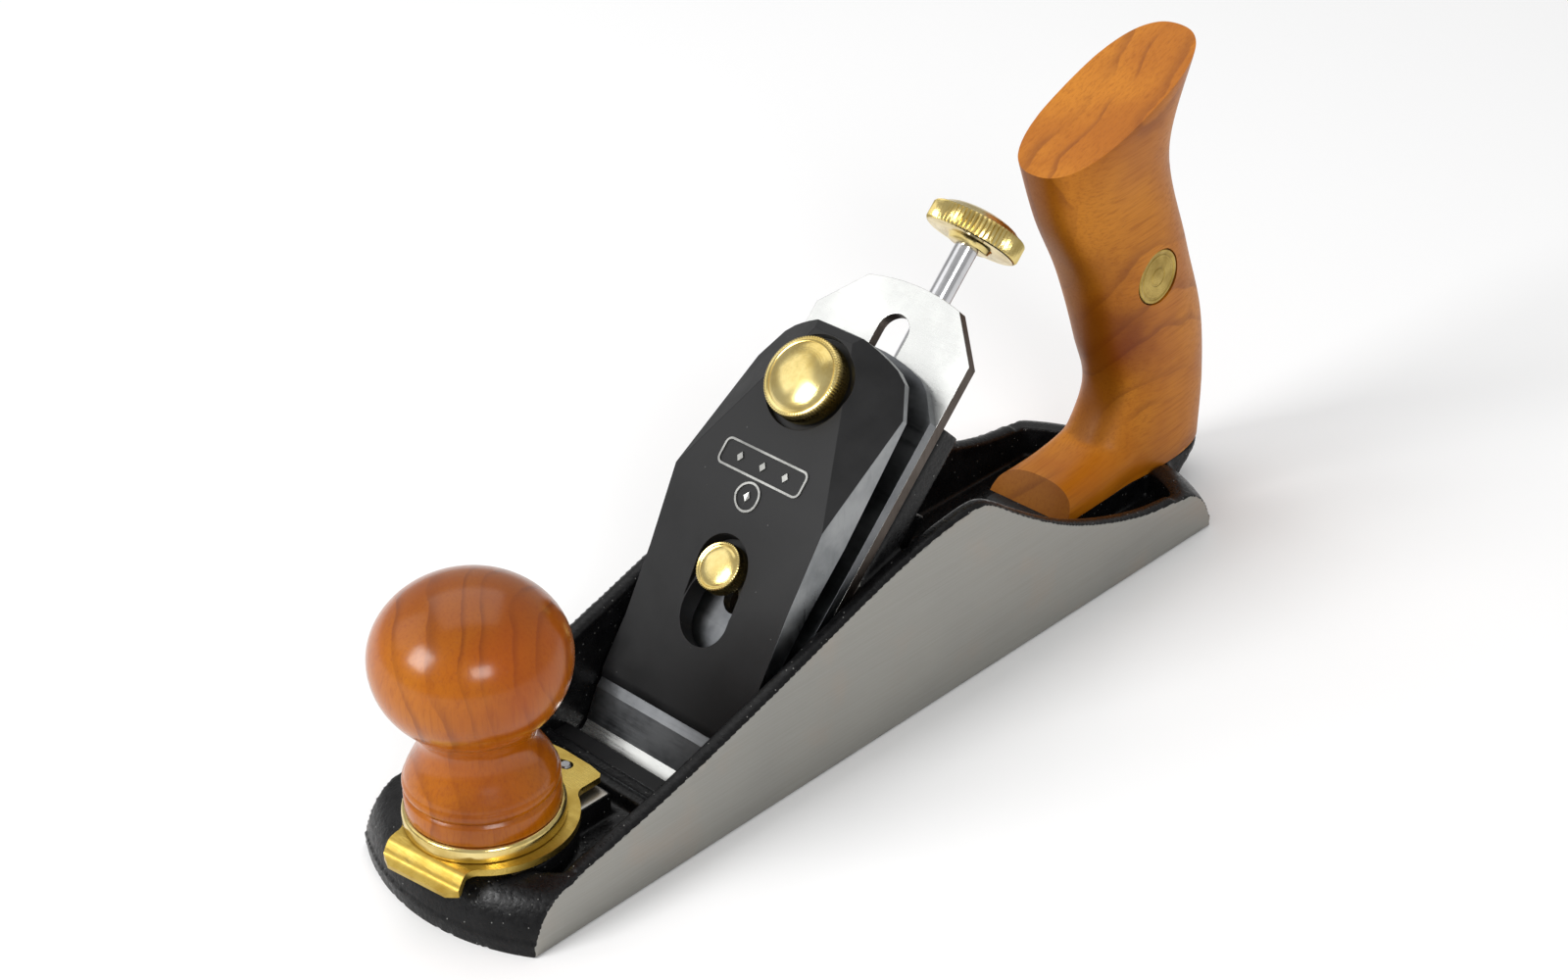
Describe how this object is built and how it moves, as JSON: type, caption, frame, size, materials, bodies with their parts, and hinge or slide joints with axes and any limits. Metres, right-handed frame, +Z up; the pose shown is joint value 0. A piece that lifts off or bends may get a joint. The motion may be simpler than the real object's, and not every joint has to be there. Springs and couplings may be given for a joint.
{
  "type": "bench hand plane",
  "caption": "Metal bench plane with a wooden front knob and tote, a screw-fed blade under a lever cap, and a sliding toe plate that sets the mouth.",
  "frame": {"origin": "on the sole, midway between the toe end and the heel end of the sole and midway between the ground sides", "axes": "+X along the sole to the toe, +Y to the plane's left side, +Z up from the sole"},
  "size_m": [0.2845, 0.0606, 0.1344],
  "materials": {
    "japanned_iron": "black japanning on the casting, bare ground sides and sole",
    "ground_iron": "ground grey iron",
    "plain_steel": "plain turned steel",
    "stainless": "turned and polished steel",
    "blade_steel": "finely ground bright steel",
    "breaker_steel": "ground grey steel",
    "brass": "polished turned brass",
    "cherry_wood": "satin varnished cherry",
    "black_cap": "smooth satin black paint, ground edges"
  },
  "bodies": {
    "body": {"body_casting": "japanned_iron", "lever_guide_pin": "plain_steel", "tote": "cherry_wood", "tote_bolt": "plain_steel", "tote_barrel_nut": "brass", "tote_bolt_washer": "plain_steel", "medallion": "brass"},
    "toe": {"toe_plate": "ground_iron", "toe_stud": "plain_steel", "lever_washer": "brass"},
    "lever": {"mouth_lever": "brass"},
    "collar": {"knob_collar": "brass"},
    "knob": {"front_knob": "cherry_wood", "knob_insert": "brass"},
    "pivot": {"adjuster_pivot": "plain_steel"},
    "rod": {"adjuster_rod": "stainless", "adjuster_knob": "brass", "adjuster_retaining_ring": "plain_steel"},
    "blade_set": {"adjuster_carriage": "brass", "blade": "blade_steel", "chipbreaker": "breaker_steel", "chipbreaker_screw": "plain_steel"},
    "cap": {"lever_cap": "black_cap"},
    "foot": {"cap_wheel_foot": "plain_steel"},
    "wheel": {"cap_wheel": "brass", "cap_wheel_stud": "plain_steel"},
    "cap_screw": {"lever_cap_screw": "brass"}
  },
  "joints": [
    {"name": "lever_swing", "type": "hinge", "parent": "toe", "child": "lever", "pos_m": [0.1102, 0, 0.017], "axis": [0, 0, 1], "range_deg": [-14, 0]},
    {"name": "toe_slide", "type": "slide", "parent": "body", "child": "toe", "axis": [1, 0, 0], "range_m": [-0.00174, 0]},
    {"name": "knob_turn", "type": "hinge", "parent": "collar", "child": "knob", "pos_m": [0.1102, 0, 0.03], "axis": [0, 0, 1], "range_deg": [0, 720]},
    {"name": "knob_rise", "type": "slide", "parent": "toe", "child": "collar", "axis": [0, 0, 1], "range_m": [0, 0.00282]},
    {"name": "lateral_swing", "type": "hinge", "parent": "body", "child": "pivot", "pos_m": [-0.00788, 0, 0.06788], "axis": [0.7071, 0, 0.7071], "range_deg": [-0.35, 0.35]},
    {"name": "depth_turn", "type": "hinge", "parent": "pivot", "child": "rod", "pos_m": [-0.01531, 0, 0.06046], "axis": [-0.7071, 0, 0.7071], "range_deg": [-102, 1153]},
    {"name": "depth_feed", "type": "slide", "parent": "pivot", "child": "blade_set", "axis": [-0.7071, 0, 0.7071], "range_m": [-0.00035, 0.004]},
    {"name": "cap_slide", "type": "slide", "parent": "body", "child": "cap", "axis": [-0.7071, 0, 0.7071], "range_m": [0, 0.0118]},
    {"name": "cap_wheel_turn", "type": "hinge", "parent": "foot", "child": "wheel", "pos_m": [-0.01205, 0, 0.07205], "axis": [0.7071, 0, 0.7071], "range_deg": [0, 1080]},
    {"name": "cap_wheel_lift", "type": "slide", "parent": "cap", "child": "foot", "axis": [0.7071, 0, 0.7071], "range_m": [0, 0.003]},
    {"name": "cap_screw_turn", "type": "hinge", "parent": "body", "child": "cap_screw", "pos_m": [0.02266, 0, 0.03734], "axis": [0.7071, 0, 0.7071], "range_deg": [-180, 180]}
  ],
  "couplings": [
    {"joint": "lever_swing", "follows": "toe_slide", "rad_per_m": 139.66},
    {"joint": "knob_turn", "follows": "knob_rise", "rad_per_m": 4453},
    {"joint": "depth_turn", "follows": "depth_feed", "rad_per_m": 5026.5},
    {"joint": "cap_wheel_turn", "follows": "cap_wheel_lift", "rad_per_m": 6283.2}
  ]
}
